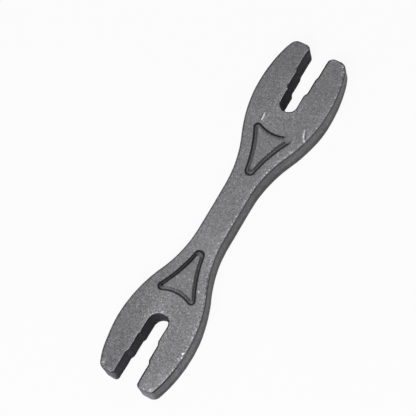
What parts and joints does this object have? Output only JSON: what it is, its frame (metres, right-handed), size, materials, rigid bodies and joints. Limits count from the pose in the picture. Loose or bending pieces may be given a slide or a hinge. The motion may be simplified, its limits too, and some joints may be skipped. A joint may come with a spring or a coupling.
{
  "type": "spoke wrench",
  "caption": "Flat forged spoke wrench with a stepped open jaw at each end of a narrow handle and raised triangles on its faces.",
  "frame": {"origin": "under the middle of the handle, on the plane that the lower triangles rest on", "axes": "+X along the handle to the head with the small jaw, +Z out of the upper face"},
  "size_m": [0.0946, 0.0196, 0.0082],
  "materials": {
    "blasted_steel": "forged steel, shot-blasted to a fine dull grey grain"
  },
  "bodies": {
    "root": {"wrench_forging": "blasted_steel"}
  },
  "joints": []
}
